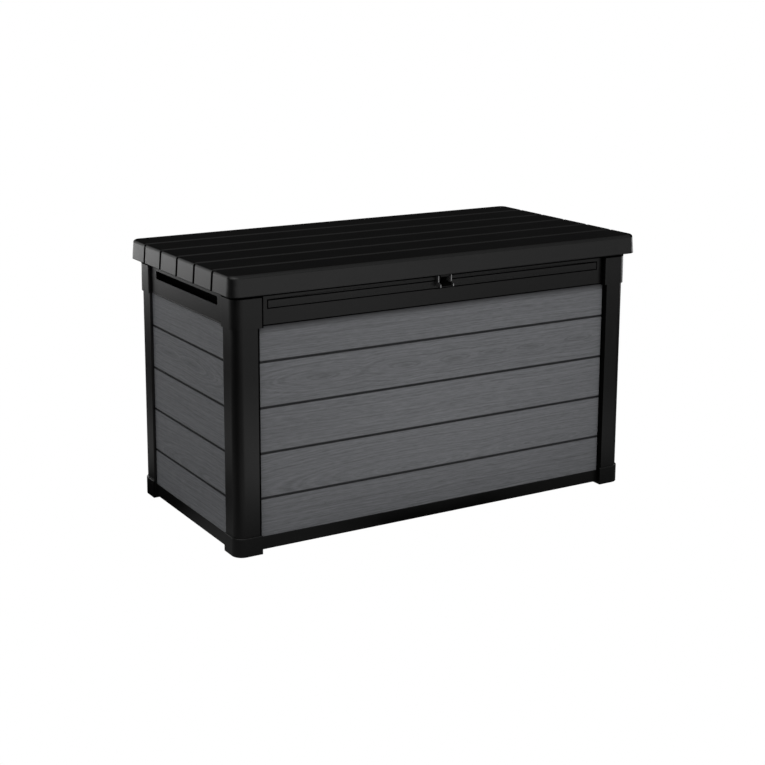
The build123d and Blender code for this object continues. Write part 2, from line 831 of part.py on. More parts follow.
write_piece(lock_tongue, "lock_tongue")
write_screws("lock_tongue_screws", tongue_seats, tongue_flange + screw_length)

# Ribs of the lid run below the plank joints, with cross ribs between them
lid_plank_pitch = lid_depth / lid_plank_count
lid_joints = [(i - (lid_plank_count - 2) / 2) * lid_plank_pitch for i in range(lid_plank_count - 1)]
lid_cross_pitch = lid_width / (lid_cross_ribs + 1)
lid_crossings = [(i - (lid_cross_ribs - 1) / 2) * lid_cross_pitch for i in range(lid_cross_ribs)]

# Screws of the liner, at the outer crossings of the ribs
liner_seats = [
    Plane(origin=(x, y, liner_bottom), z_dir=(0, 0, -1))
    for x in lid_crossings
    for y in (lid_joints[0], lid_joints[-1])
]

# Screws of the strut brackets on the lid
strut_lug_x = strut_x + strut_eye_width / 2 + bracket_lug_margin
strut_lid_seats = [
    Plane(
        origin=(
            strut_lug_x - bracket_plate - screw_margin,
            strut_lid_y + side * (bracket_height / 2 - screw_margin),
            liner_bottom - bracket_plate,
        ),
        z_dir=(0, 0, -1),
    )
    for side in (-1, 1)
]
strut_lid_seats_left = [
    Plane(origin=(-seat.origin.X, seat.origin.Y, seat.origin.Z), z_dir=(0, 0, -1))
    for seat in strut_lid_seats
]
lid_seats = liner_seats + tongue_seats + strut_lid_seats + strut_lid_seats_left
lid_bosses = [(seat.origin.X, seat.origin.Y) for seat in lid_seats]

# Thicker wall behind the grooves of the end skirts
lid_groove_back = lid_end_groove_depth + lid_groove_wall
with BuildPart() as lid_groove_backs:
    with BuildSketch(Plane.XY.offset(skirt_bottom)):
        with Locations(*[(0, y) for y in lid_joints]):
            Rectangle(2 * lid_width, lid_groove_width + 2 * lid_groove_wall)
    extrude(amount=lid_skirt)
    with BuildSketch(Plane.XY.offset(skirt_bottom)):
        Rectangle(lid_width - 2 * lid_groove_back, 2 * lid_depth)
    extrude(amount=lid_skirt, taper=lid_draft, mode=Mode.SUBTRACT)

# Space below the deck, less the ribs, screw bosses, hinge blocks and groove walls
with BuildPart() as lid_cavity:
    with BuildSketch(Plane.XY.offset(skirt_bottom)):
        RectangleRounded(
            lid_width - 2 * lid_wall,
            lid_depth - 2 * lid_wall,
            lid_corner_radius - lid_wall,
        )
    extrude(amount=lid_skirt - lid_deck, taper=lid_draft)
    with BuildSketch(Plane.XY.offset(liner_top)):
        with Locations(*[(0, y) for y in lid_joints]):
            Rectangle(lid_width, lid_rib_thickness)
        with Locations(*[(x, 0) for x in lid_crossings]):
            Rectangle(lid_rib_thickness, lid_depth)
        with Locations(*lid_bosses):
            Circle(lid_boss_radius)
    extrude(amount=lid_rib_height, mode=Mode.SUBTRACT)
    with BuildSketch(Plane.XY.offset(skirt_bottom + hinge_block_rise)):
        with Locations(*[(x, hinge_y + hinge_leaf / 2) for x in hinge_places.values()]):
            Rectangle(
                hinge_width + 2 * hinge_block_margin,
                lid_depth,
                align=(Align.CENTER, Align.MIN),
            )
    extrude(amount=lid_skirt, mode=Mode.SUBTRACT)
    add(lid_groove_backs.part, mode=Mode.SUBTRACT)

# What the grooves leave of the lid, rounded where they pass over its edges
with BuildPart() as lid_groove_core:
    with BuildSketch(Plane.XY.offset(skirt_bottom)):
        Rectangle(lid_width - 2 * lid_end_groove_depth, 2 * lid_depth)
    extrude(amount=lid_skirt - lid_groove_depth, taper=lid_draft)
    core_top = lid_groove_core.faces().sort_by(Axis.Z)[-1]
    fillet(core_top.edges().filter_by(Axis.Y), lid_groove_edge_radius)

# Grooves between the planks, flared across the deck and straight down both ends
with BuildPart() as lid_grooves:
    with BuildSketch(Plane.XY.offset(skirt_bottom)):
        with Locations(*[(0, y) for y in lid_joints]):
            Rectangle(2 * lid_width, lid_groove_width)
    extrude(amount=2 * lid_skirt)
    add(lid_groove_core.part, mode=Mode.SUBTRACT)
    groove_floor = lid_top_height - lid_groove_depth
    groove_half = lid_groove_width / 2
    for y in lid_joints:
        with BuildSketch(Plane.YZ.offset(-lid_width / 2)):
            with BuildLine():
                Polyline(
                    (y - groove_half, groove_floor),
                    (y + groove_half, groove_floor),
                    (y + groove_half + 2 * lid_groove_flare, groove_floor + 2 * lid_groove_depth),
                    (y - groove_half - 2 * lid_groove_flare, groove_floor + 2 * lid_groove_depth),
                    close=True,
                )
            make_face()
        extrude(amount=lid_width)

# Lid shell
with BuildPart() as lid_shell:
    with BuildSketch(Plane.XY.offset(skirt_bottom)):
        RectangleRounded(lid_width, lid_depth, lid_corner_radius)
    extrude(amount=lid_skirt, taper=lid_draft)
    fillet(lid_shell.faces().sort_by(Axis.Z)[-1].edges(), lid_edge_radius)
    fillet(lid_shell.faces().sort_by(Axis.Z)[0].edges(), lid_rim_radius)
    add(lid_cavity.part, mode=Mode.SUBTRACT)
    add(lid_grooves.part, mode=Mode.SUBTRACT)
    drill(liner_seats + strut_lid_seats + strut_lid_seats_left)
    drill(tongue_seats, tongue_flange + screw_length)
    drill(hinge_lid_seats)
write_piece(lid_shell, "lid_shell")

# Liner below the ribs, with pads pressed down to stiffen it
liner_half_x = lid_width / 2 - lid_groove_back - skirt_draft(liner_top) - liner_gap
liner_half_y = lid_depth / 2 - lid_wall - skirt_draft(liner_top) - liner_gap
liner_corner_radius = lid_corner_radius - lid_wall - skirt_draft(liner_top)
pad_area_x = 2 * (post_inner_x - liner_pad_margin)
pad_area_y = 2 * (rail_back_y - liner_pad_margin)
pad_pitch_x = (pad_area_x + liner_pad_spacing) / liner_pads_x
pad_pitch_y = (pad_area_y + liner_pad_spacing) / liner_pads_y
with BuildPart() as lid_liner:
    with BuildSketch(Plane.XY.offset(liner_bottom)):
        RectangleRounded(2 * liner_half_x, 2 * liner_half_y, liner_corner_radius)
        with Locations(*[(x, hinge_y - hinge_leaf / 2 - liner_gap) for x in hinge_places.values()]):
            Rectangle(
                hinge_width + 2 * hinge_block_margin + 2 * liner_gap,
                lid_depth,
                align=(Align.CENTER, Align.MIN),
                mode=Mode.SUBTRACT,
            )
    extrude(amount=liner_thickness)
    with BuildSketch(Plane.XY.offset(liner_bottom)):
        with GridLocations(pad_pitch_x, pad_pitch_y, liner_pads_x, liner_pads_y):
            RectangleRounded(
                pad_pitch_x - liner_pad_spacing,
                pad_pitch_y - liner_pad_spacing,
                liner_pad_radius,
            )
    extrude(amount=-liner_pad_height)
    with BuildSketch(Plane.XY.offset(liner_top)):
        with GridLocations(pad_pitch_x, pad_pitch_y, liner_pads_x, liner_pads_y):
            RectangleRounded(
                pad_pitch_x - liner_pad_spacing - 2 * liner_thickness,
                pad_pitch_y - liner_pad_spacing - 2 * liner_thickness,
                liner_pad_radius - liner_thickness,
            )
    extrude(amount=-liner_pad_height, mode=Mode.SUBTRACT)
    drill(liner_seats + strut_lid_seats + strut_lid_seats_left)
    drill(tongue_seats, tongue_flange + screw_length)
write_piece(lid_liner, "lid_liner")
write_screws("lid_liner_screws", liner_seats)

# Rubber bumpers on the rails, which the closed lid rests on
bumper_y = (rail_y + rail_back_y) / 2
with BuildPart() as lid_bumpers:
    with Locations(*[
        (sx * (post_inner_x - bumper_inset), sy * bumper_y, rail_top)
        for sx in (-1, 1)
        for sy in (-1, 1)
    ]):
        Cylinder(bumper_radius, bumper_height, align=centred_up)
write_piece(lid_bumpers, "lid_bumpers")

# Strut axis, from the lid pivot to the box pivot and back
strut_down = Vector(0, strut_box_y - strut_lid_y, strut_box_z - strut_lid_z).normalized()
tube_plane = Plane(origin=(strut_x, strut_lid_y, strut_lid_z), x_dir=(1, 0, 0), z_dir=strut_down)
rod_plane = Plane(origin=(strut_x, strut_box_y, strut_box_z), x_dir=(1, 0, 0), z_dir=-strut_down)
strut_bore_radius = strut_tube_radius - strut_tube_wall


# End fitting of a strut: a flat eye on a round neck
def strut_eye(plane, pivot_y, pivot_z, reach):
    with BuildPart() as eye:
        with BuildSketch(Plane.YZ.offset(strut_x)):
            with Locations((pivot_y, pivot_z)):
                Circle(strut_eye_radius)
        extrude(amount=strut_eye_width / 2, both=True)
        with BuildSketch(plane):
            Circle(strut_neck_radius)
        extrude(amount=reach)
        with BuildSketch(Plane.YZ.offset(strut_x)):
            with Locations((pivot_y, pivot_z)):
                Circle(strut_stud_radius + pivot_clearance)
        extrude(amount=strut_eye_width, both=True, mode=Mode.SUBTRACT)
    return eye


# Stud along X that carries an eye: shoulder, journal and head
def strut_stud(root_x, pivot_y, pivot_z):
    eye_half = strut_eye_width / 2 + strut_shoulder_gap
    with Locations(Location((strut_x + eye_half, pivot_y, pivot_z), (0, 90, 0))):
        Cylinder(strut_shoulder_radius, root_x - strut_x - eye_half, align=centred_up)
    with Locations(Location((strut_x - eye_half, pivot_y, pivot_z), (0, 90, 0))):
        Cylinder(strut_stud_radius, 2 * eye_half, align=centred_up)
        Cylinder(strut_shoulder_radius, strut_stud_head, align=centred_down)


# Strut tube, closed at the lid end, with a guide for the rod
with BuildPart() as strut_tube:
    with BuildSketch(tube_plane.offset(strut_tube_eye_reach)):
        Circle(strut_tube_radius)
    extrude(amount=strut_tube_length)
    with BuildSketch(tube_plane.offset(strut_tube_eye_reach + strut_tube_cap)):
        Circle(strut_bore_radius)
    extrude(amount=strut_tube_length - strut_tube_cap - strut_guide, mode=Mode.SUBTRACT)
    with BuildSketch(tube_plane.offset(strut_tube_eye_reach + strut_tube_cap)):
        Circle(strut_rod_radius + strut_clearance)
    extrude(amount=strut_tube_length, mode=Mode.SUBTRACT)
write_pair(strut_tube, "strut_tube")
write_pair(strut_eye(tube_plane, strut_lid_y, strut_lid_z, strut_tube_eye_reach), "strut_tube_eye")

# Strut rod with its piston
with BuildPart() as strut_rod:
    with BuildSketch(rod_plane.offset(strut_rod_eye_reach)):
        Circle(strut_rod_radius)
    extrude(amount=strut_rod_length - strut_rod_eye_reach)
    with BuildSketch(rod_plane.offset(strut_rod_length - strut_piston_length)):
        Circle(strut_bore_radius - strut_clearance)
    extrude(amount=strut_piston_length)
write_pair(strut_rod, "strut_rod")
write_pair(strut_eye(rod_plane, strut_box_y, strut_box_z, strut_rod_eye_reach), "strut_rod_eye")

# Bracket of a strut on the end panel
with BuildPart() as strut_box_bracket:
    with BuildSketch(Plane.YZ.offset(panel_back_x)):
        with Locations((strut_box_y, strut_box_z)):
            Rectangle(bracket_width, bracket_height)
    extrude(amount=-bracket_plate)
    strut_stud(strut_bracket_face, strut_box_y, strut_box_z)
    drill(strut_box_seats)
write_pair(strut_box_bracket, "strut_box_bracket")

# Bracket of a strut below the liner: a foot and a lug
with BuildPart() as strut_lid_bracket:
    with BuildSketch(Plane.XY.offset(liner_bottom)):
        with Locations((strut_lug_x, strut_lid_y)):
            Rectangle(
                bracket_plate + 2 * screw_margin,
                bracket_height,
                align=(Align.MAX, Align.CENTER),
            )
    extrude(amount=-bracket_plate)
    with BuildSketch(Plane.YZ.offset(strut_lug_x)):
        with Locations((strut_lid_y, liner_bottom)):
            Rectangle(
                2 * strut_eye_radius,
                strut_lid_drop + strut_eye_radius,
                align=(Align.CENTER, Align.MAX),
            )
    extrude(amount=-bracket_plate)
    strut_stud(strut_lug_x - bracket_plate, strut_lid_y, strut_lid_z)
    drill(strut_lid_seats)
write_pair(strut_lid_bracket, "strut_lid_bracket")

strut_box_seats_left = [
    Plane(origin=(-seat.origin.X, seat.origin.Y, seat.origin.Z), z_dir=(1, 0, 0))
    for seat in strut_box_seats
]
write_screws("strut_box_screws", strut_box_seats + strut_box_seats_left)
write_screws("strut_lid_screws", strut_lid_seats + strut_lid_seats_left)

print(f"lid top {lid_top_height:.1f}, skirt {lid_width:.1f} x {lid_depth:.1f}, from {skirt_bottom:.1f}")
print(f"padlock bore y {lock_bore_y:.2f}, z {lock_bottom:.2f} to {toe_top:.2f}")
print(f"hinge axis y {hinge_y:.2f} z {hinge_z:.2f}")
print(f"strut x {strut_x:.2f}, lid pivot {strut_lid_y:.3f} {strut_lid_z:.3f}")
print(f"strut box pivot {strut_box_y:.3f} {strut_box_z:.3f}, {strut_closed:.1f} to {strut_open:.1f} long")
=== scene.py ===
import json
import math

import bpy
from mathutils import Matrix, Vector


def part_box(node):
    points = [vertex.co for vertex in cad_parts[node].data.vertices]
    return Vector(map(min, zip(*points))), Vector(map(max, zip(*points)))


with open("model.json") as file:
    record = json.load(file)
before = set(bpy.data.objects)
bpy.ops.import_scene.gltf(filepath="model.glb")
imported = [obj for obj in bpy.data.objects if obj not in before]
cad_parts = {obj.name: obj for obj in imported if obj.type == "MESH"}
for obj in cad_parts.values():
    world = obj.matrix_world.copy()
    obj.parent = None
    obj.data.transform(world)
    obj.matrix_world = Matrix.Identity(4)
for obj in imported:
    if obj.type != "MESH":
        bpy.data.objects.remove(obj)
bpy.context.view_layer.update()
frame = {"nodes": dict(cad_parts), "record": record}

nodes = frame["nodes"]
scene = bpy.context.scene

# Counts of planks in a wall panel and in the lid's deck
PANEL_PLANKS = 5
LID_PLANKS = 6

# Places read from the frame, in metres
panel_low, panel_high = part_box("front_panel")
lid_low, lid_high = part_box("lid_shell")
plank_seat = panel_low.z
plank_pitch = (panel_high.z - panel_low.z) / PANEL_PLANKS
lid_pitch = (lid_high.y - lid_low.y) / LID_PLANKS
skirt_bottom = lid_low.z
rail_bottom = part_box("front_rail")[0].z
panel_face_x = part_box("end_panel_right")[1].x
collar_inner_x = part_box("post_collar_front_right")[0].x
post_inner_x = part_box("corner_post_front_right")[0].x
bracket_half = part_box("lock_bracket")[1].x

# Widths of the strips of painted shade beside the collars and posts, in the slot, along the rails' lower
# edges and under the lid's skirt, and of the lock's bright cheeks, in metres
SLOT_SHADE_STEP = 0.0002
COLLAR_SEAM_SHADE = 0.0062
POST_SEAM_SHADE = 0.0068
SKIRT_SHADE = 0.0118
END_RAIL_LIP_SHADE = 0.0015
FRONT_RAIL_LIP_SHADE = 0.0040
CHEEK = 0.0035

# Engraved line of the front rail, which is painted dark as shade, in metres: margin beside the collars,
# heights above the rail's bottom and width
LINE_MARGIN = 0.0183
LINE_BOTTOM = 0.0501
LINE_TOP = 0.0782
LINE_WIDTH = 0.0034

# Joint between two planks of a panel, and the shade under the front and back rails, in metres
JOINT_HALF = 0.003
JOINT_FADE = 0.0022
JOINT_CORE = 0.0004
RAIL_SHADE = 0.030

# Base greys and roughness of the two plastics
BLACK = 0.0040
BLACK_ROUGH = 0.31
PLANK_GREY = 0.210
PLANK_TINT = 2.4


class Tree:
    """Short calls that build one shader node tree."""

    def __init__(self, tree):
        self.tree = tree
        tree.nodes.clear()

    def put(self, socket, value):
        if isinstance(value, bpy.types.NodeSocket):
            self.tree.links.new(value, socket)
        else:
            socket.default_value = value

    def node(self, kind, inputs=None, **settings):
        made = self.tree.nodes.new("ShaderNode" + kind)
        for key, value in settings.items():
            setattr(made, key, value)
        for key, value in (inputs or {}).items():
            self.put(made.inputs[key], value)
        return made

    def math(self, operation, *values):
        made = self.node("Math", operation=operation)
        for socket, value in zip(made.inputs, values):
            self.put(socket, value)
        return made.outputs[0]

    def add(self, a, b):
        return self.math("ADD", a, b)

    def sub(self, a, b):
        return self.math("SUBTRACT", a, b)

    def mul(self, a, b):
        return self.math("MULTIPLY", a, b)

    def max(self, a, b):
        return self.math("MAXIMUM", a, b)

    def abs(self, a):
        return self.math("ABSOLUTE", a)

    def length(self, a, b):
        """Length of the diagonal of a and b."""
        return self.math("SQRT", self.add(self.mul(a, a), self.mul(b, b)))

    def vector(self, x, y, z):
        return self.node("CombineXYZ", {"X": x, "Y": y, "Z": z}).outputs[0]

    def place(self):
        """Rest-frame coordinates, as a vector and as its three parts."""
        coords = self.node("TexCoord").outputs["Object"]
        parts = self.node("SeparateXYZ", {"Vector": coords}).outputs
        return coords, parts[0], parts[1], parts[2]

    def stretch(self, parts, factors):
        """Vector of three coordinates, each times its own factor."""
        return self.vector(*(self.mul(part, factor) for part, factor in zip(parts, factors)))

    def noise(self, vector, scale=1.0, detail=2.0, rough=0.5):
        return self.node("TexNoise", {"Vector": vector, "Scale": scale, "Detail": detail,
                                      "Roughness": rough}).outputs["Fac"]

    def noise_line(self, w, detail):
        return self.node("TexNoise", {"W": w, "Scale": 1.0, "Detail": detail},
                         noise_dimensions="1D").outputs["Fac"]

    def span(self, value, low, high):
        """Smooth step from 0 at low to 1 at high."""
        return self.node("MapRange", {"Value": value, "From Min": low, "From Max": high},
                         interpolation_type="SMOOTHSTEP").outputs[0]

    def blend(self, factor, a, b):
        made = self.node("Mix", data_type="RGBA")
        self.put(made.inputs[0], factor)
        self.put(made.inputs[6], a)
        self.put(made.inputs[7], b)
        return made.outputs[2]

    def bump(self, height, strength, distance, under=None):
        inputs = {"Height": height, "Strength": strength, "Distance": distance}
        if under is not None:
            inputs["Normal"] = under
        return self.node("Bump", inputs).outputs[0]

    def end(self, shader, kind="OutputMaterial"):
        self.tree.links.new(shader.outputs[0], self.node(kind).inputs["Surface"])

    def surface(self, **inputs):
        self.end(self.node("BsdfPrincipled", {key.replace("_", " "): value for key, value in inputs.items()}))

    def glow(self, strength):
        self.end(self.node("Emission", {"Color": grey(1.0), "Strength": strength}))


def new_tree(name):
    material = bpy.data.materials.new(name)
    material.use_nodes = True
    return material, Tree(material.node_tree)


def grey(value, tint=0.0):
    """Grey that leans to blue as tint grows."""
    return (value, value * (1 + 0.010 * tint), value * (1 + 0.035 * tint), 1.0)


def painted_shade_places(t, x, z, shade_limits, line):
    """Mask of painted shade: 1 in the seams and hollows where shade falls, 0 elsewhere. They lie below or
    above a limit of z or of x on either side, and in an engraved line round a rectangle, given as half width,
    bottom, top and line width."""
    compare = {"below": "LESS_THAN", "above": "GREATER_THAN"}
    shade_mask = 0.0
    for (axis, side), limit in shade_limits.items():
        where = t.abs(x) if axis == "x" else z
        shade_mask = t.max(shade_mask, t.math(compare[side], where, limit))
    if line:
        half, low, high, width = line
        up = t.sub(t.abs(t.sub(z, (low + high) / 2)), (high - low) / 2)
        outside = t.max(t.sub(t.abs(x), half), up)
        cut = t.mul(t.math("LESS_THAN", outside, 0.0), t.math("GREATER_THAN", outside, -width))
        shade_mask = t.max(shade_mask, cut)
    return shade_mask


def moulded_plastic(name, base=BLACK, rough=BLACK_ROUGH, grain=0.0, shade_limits=None, line=None):
    """Black plastic with a fine moulded texture and a few scuffs, faint plank grain where grain is above
    zero, and painted shade, a darker, rougher and less glossy face, in the places that the limits and line
    give."""
    material, t = new_tree(name)
    coords, x, y, z = t.place()
    cloud = t.noise(coords, scale=5.0, detail=3.0)
    fine = t.noise(coords, scale=950.0, rough=0.6)
    scuff = t.noise(t.stretch((x, y, z), (40.0, 40.0, 9.0)), detail=4.0, rough=0.65)
    scuffed = t.span(scuff, 0.60, 0.78)
    colour = t.blend(t.span(cloud, 0.3, 0.7), grey(base * 0.85), grey(base * 1.15))
    colour = t.blend(t.mul(scuffed, 0.25), colour, grey(base * 2.2))
    roughness = t.add(rough - 0.05, t.add(t.mul(cloud, 0.07), t.mul(scuffed, 0.08)))
    normal = t.bump(fine, 0.12, 0.0003)
    if grain > 0:
        shift = t.mul(t.math("FLOOR", t.math("DIVIDE", y, lid_pitch)), 7.31)
        fibre_place = t.vector(t.add(t.mul(x, 5.0), shift), t.mul(y, 170.0), t.mul(z, 60.0))
        fibre = t.noise(fibre_place, detail=4.0, rough=0.6)
        colour = t.blend(t.mul(t.span(fibre, 0.35, 0.7), 0.35), colour, grey(base * 1.6))
        normal = t.bump(fibre, grain, 0.0006, normal)
    gloss = 0.5
    if shade_limits:
        shade_mask = painted_shade_places(t, x, z, shade_limits, line)
        # Painted shade: darker, rougher and less glossy beside collars and posts, in the slot, along rail
        # edges, under the skirt and in the engraved line
        colour = t.blend(shade_mask, colour, grey(base * 0.3))
        roughness = t.max(roughness, t.mul(shade_mask, 0.95))
        gloss = t.sub(gloss, t.mul(shade_mask, 0.46))
    t.surface(Base_Color=colour, Roughness=roughness, Specular_IOR_Level=gloss, Normal=normal)
    return material


# Grain of the planks of a panel, from the bottom up: height of the heart above the plank's middle in metres,
# and how far the rings close round the eyes and round the arches
GRAIN = [(-0.24, 0.0, 0.10), (-0.050, 0.0, 0.55), (-0.40, 0.0, 0.0), (0.004, 1.0, 0.0), (0.38, 0.05, 0.0)]
HEART_ZERO = 0.5


def plank_figure(t, row):
    """Heart, eyes and arches of the plank in a row. The heart is stored above zero, as a colour has to be."""
    figure = t.node("ValToRGB", {"Fac": t.mul(t.add(row, 0.5), 1 / PANEL_PLANKS)})
    ramp = figure.color_ramp
    ramp.interpolation = "CONSTANT"
    while len(ramp.elements) < PANEL_PLANKS:
        ramp.elements.new(0.5)
    for index, (element, (heart, eye, arch)) in enumerate(zip(ramp.elements, GRAIN)):
        element.position = index / PANEL_PLANKS
        element.color = (heart + HEART_ZERO, eye, arch, 1.0)
    heart, eye, arch = t.node("SeparateColor", {"Color": figure.outputs["Color"]}).outputs
    return t.sub(heart, HEART_ZERO), eye, arch


def nearest(t, along, places):
    """Distance along the planks to the nearest of some places, rounded where two are as near."""
    best = 2.0
    for place in places:
        best = t.math("SMOOTH_MIN", best, t.abs(t.sub(along, place)), 0.02)
    return best


def plank_plastic(name, seed, axis, eyes, arches):
    """Grey plastic moulded with wood grain: straight planks, planks with eyes and planks with arches."""
    material, t = new_tree(name)
    coords, x, y, z = t.place()
    along = {"x": x, "y": y}[axis]
    rise = t.math("DIVIDE", t.sub(z, plank_seat), plank_pitch)
    row = t.math("FLOOR", rise)
    across = t.mul(t.sub(t.sub(rise, row), 0.5), plank_pitch)
    shift = t.add(t.mul(row, 13.7), seed)

    def grain_noise(along_scale, across_scale, detail=2.0, rough=0.5):
        place = t.vector(t.add(t.mul(along, along_scale), shift), t.mul(across, across_scale), shift)
        return t.noise(place, detail=detail, rough=rough)

    # Growth rings round a heart that wanders, closed at the eyes and arches
    heart, eye, arch = plank_figure(t, row)
    warp = t.sub(grain_noise(2.2, 10.0), 0.5)
    wave = t.sub(grain_noise(9.0, 30.0), 0.5)
    off = t.add(t.sub(across, heart), t.add(t.mul(warp, 0.028), t.mul(wave, 0.007)))
    eye_reach = t.mul(t.mul(nearest(t, along, eyes), 0.17), eye)
    arch_reach = t.mul(t.mul(nearest(t, along, arches), 0.20), arch)
    radius = t.length(off, t.add(eye_reach, arch_reach))
    ring = t.span(t.noise_line(t.add(t.mul(radius, 210.0), shift), 2.0), 0.30, 0.70)
    core = t.mul(t.span(radius, 0.014, 0.002), eye)

    # Fibres, broad streaks and dark pores along the planks
    fibre = grain_noise(25.0, 300.0, detail=4.0, rough=0.65)
    streak = t.span(grain_noise(3.0, 95.0), 0.3, 0.7)
    pore = t.span(grain_noise(42.0, 560.0), 0.58, 0.72)
    light = t.add(t.add(t.mul(ring, 0.36), t.mul(t.span(fibre, 0.3, 0.7), 0.46)), t.mul(streak, 0.18))
    tone = t.sub(light, t.add(t.mul(pore, 0.30), t.mul(core, 0.30)))
    colour = t.blend(tone, grey(PLANK_GREY * 0.70, PLANK_TINT), grey(PLANK_GREY * 1.30, PLANK_TINT))

    # Dark joints between the planks, and the shade under the front and back rails
    edge = plank_pitch / 2 - JOINT_HALF
    joint = t.span(t.abs(across), edge - JOINT_FADE, edge - JOINT_CORE)
    colour = t.blend(joint, colour, grey(PLANK_GREY * 0.25, PLANK_TINT))
    if axis == "x":
        under = t.span(z, rail_bottom - RAIL_SHADE, rail_bottom)
        colour = t.blend(t.mul(under, 0.72), colour, grey(PLANK_GREY * 0.12, PLANK_TINT))

    fine = t.noise(coords, scale=1100.0, rough=0.6)
    normal = t.bump(tone, 0.30, 0.0007, t.bump(fine, 0.10, 0.0003))
    t.surface(Base_Color=colour, Roughness=t.add(0.52, t.mul(fibre, 0.16)), Normal=normal)
    return material


def metal(name, base, rough, metallic, brush, dark_half=0.0):
    """Metal or painted metal with fine brushing or orange peel and a few matt spots, nearly black nearer the
    middle than dark_half, partly the black of the lug and partly painted shade between the cheeks."""
    material, t = new_tree(name)
    coords, x, y, z = t.place()
    line = t.noise(t.stretch((x, y, z), (160.0, 160.0, 1900.0)), detail=3.0)
    peel = t.noise(coords, scale=700.0)
    spots = t.span(t.noise(coords, scale=70.0, detail=4.0, rough=0.6), 0.5, 0.75)
    height = t.add(t.mul(line, brush), t.mul(peel, 1.0 - brush))
    colour = t.blend(t.mul(spots, 0.5), grey(base, 0.3), grey(base * 0.78, 0.2))
    if dark_half > 0:
        # Nearly black middle: the lug's own black and painted shade on the zinc between the cheeks
        colour = t.blend(t.math("LESS_THAN", t.abs(x), dark_half), colour, grey(0.03))
    roughness = t.add(rough, t.add(t.mul(spots, 0.12), t.mul(height, 0.06)))
    t.surface(Base_Color=colour, Roughness=roughness, Metallic=metallic, Normal=t.bump(height, 0.10, 0.0002))
    return material


def rubber(name):
    """Matt black rubber with a fine grain and some dust."""
    material, t = new_tree(name)
    coords = t.place()[0]
    speck = t.noise(coords, scale=1400.0, detail=3.0, rough=0.65)
    dust = t.span(t.noise(coords, scale=160.0, detail=3.0), 0.5, 0.8)
    colour = t.blend(t.mul(dust, 0.4), grey(0.018, 0.2), grey(0.045, 0.2))
    t.surface(Base_Color=colour, Roughness=t.add(0.72, t.mul(dust, 0.15)), Normal=t.bump(speck, 0.2, 0.0003))
    return material


# Looks by the record's material slots
slot_looks = {
    "black_plastic": moulded_plastic("black_plastic"),
    "zinc": metal("zinc", 0.56, rough=0.38, metallic=1.0, brush=0.3, dark_half=bracket_half - CHEEK),
    "steel": metal("steel", 0.46, rough=0.30, metallic=1.0, brush=0.6),
    "bracket_steel": metal("bracket_steel", 0.028, rough=0.42, metallic=0.0, brush=0.0),
    "strut_paint": metal("strut_paint", 0.020, rough=0.26, metallic=0.0, brush=0.0),
    "strut_chrome": metal("strut_chrome", 0.74, rough=0.10, metallic=1.0, brush=0.5),
    "rubber": rubber("rubber"),
}

# Looks of pieces with painted shade beside the collars and posts, in the slot, along the rails' lower edges,
# under the lid's skirt, in the engraved line and on the lock tongue below the skirt, by how the piece's name
# starts
# Height under the lid's skirt above which shade is painted
under_skirt = skirt_bottom - SKIRT_SHADE
shaded_seam_looks = {
    "end_rail": moulded_plastic(
        "black_slot_plastic",
        shade_limits={("x", "below"): panel_face_x - SLOT_SHADE_STEP, ("z", "below"): rail_bottom + END_RAIL_LIP_SHADE}),
    "post_collar": moulded_plastic(
        "black_collar_plastic",
        shade_limits={("x", "below"): collar_inner_x + COLLAR_SEAM_SHADE, ("z", "above"): under_skirt}),
    "corner_post": moulded_plastic(
        "black_post_plastic",
        shade_limits={("x", "below"): post_inner_x + POST_SEAM_SHADE}),
    "front_rail": moulded_plastic(
        "black_rail_plastic",
        shade_limits={("z", "above"): under_skirt, ("z", "below"): rail_bottom + FRONT_RAIL_LIP_SHADE},
        line=(collar_inner_x - LINE_MARGIN, rail_bottom + LINE_BOTTOM, rail_bottom + LINE_TOP, LINE_WIDTH)),
    "lock_tongue": moulded_plastic(
        "black_tongue_plastic", base=0.0045, rough=0.60,
        shade_limits={("z", "below"): under_skirt}),
}

# Looks of single pieces. Eyes and arches of the grain are places along the panel, in metres
single_looks = {
    "lid_shell": moulded_plastic("black_lid_plastic", grain=0.12),
    "front_panel": plank_plastic(
        "planks_front", seed=2.3, axis="x",
        eyes=(-0.422, -0.131, 0.055, 0.200, 0.352, 0.545), arches=(-0.10, 0.42)),
    "back_panel": plank_plastic(
        "planks_back", seed=41.9, axis="x",
        eyes=(-0.510, -0.300, -0.085, 0.120, 0.410), arches=(-0.35, 0.22)),
    "end_panel_left": plank_plastic(
        "planks_left", seed=83.1, axis="y", eyes=(-0.030, 0.155), arches=(-0.19,)),
    "end_panel_right": plank_plastic(
        "planks_right", seed=127.7, axis="y", eyes=(-0.060, 0.135), arches=(0.21,)),
}

slots = {part["node"]: part["material_slot"] for part in frame["record"]["subparts"]}


def look_of(name):
    """Material of a piece: its own, that with painted shade at its seams, or that of its slot."""
    if name in single_looks:
        return single_looks[name]
    if "screws" not in name:
        for start, look in shaded_seam_looks.items():
            if name.startswith(start):
                return look
    return slot_looks[slots[name]]


# Rounded edges: width in metres, and how the names of the pieces start
EDGES = {
    0.0012: ("corner_foot",),
    0.0010: ("lid_shell", "lid_liner", "corner_post", "post_collar", "back_rail", "base_tray",
             "lock_bracket", "lock_tongue"),
    0.0008: ("front_panel", "back_panel", "end_panel", "front_rail", "end_rail", "lid_bumpers",
             "strut_tube_"),
}
SMALL_EDGE = 0.0004
SHARP_ANGLE = 35
JOIN_DISTANCE = 0.00001


def edge_width(name):
    for width, starts in EDGES.items():
        if name.startswith(starts):
            return width
    return SMALL_EDGE


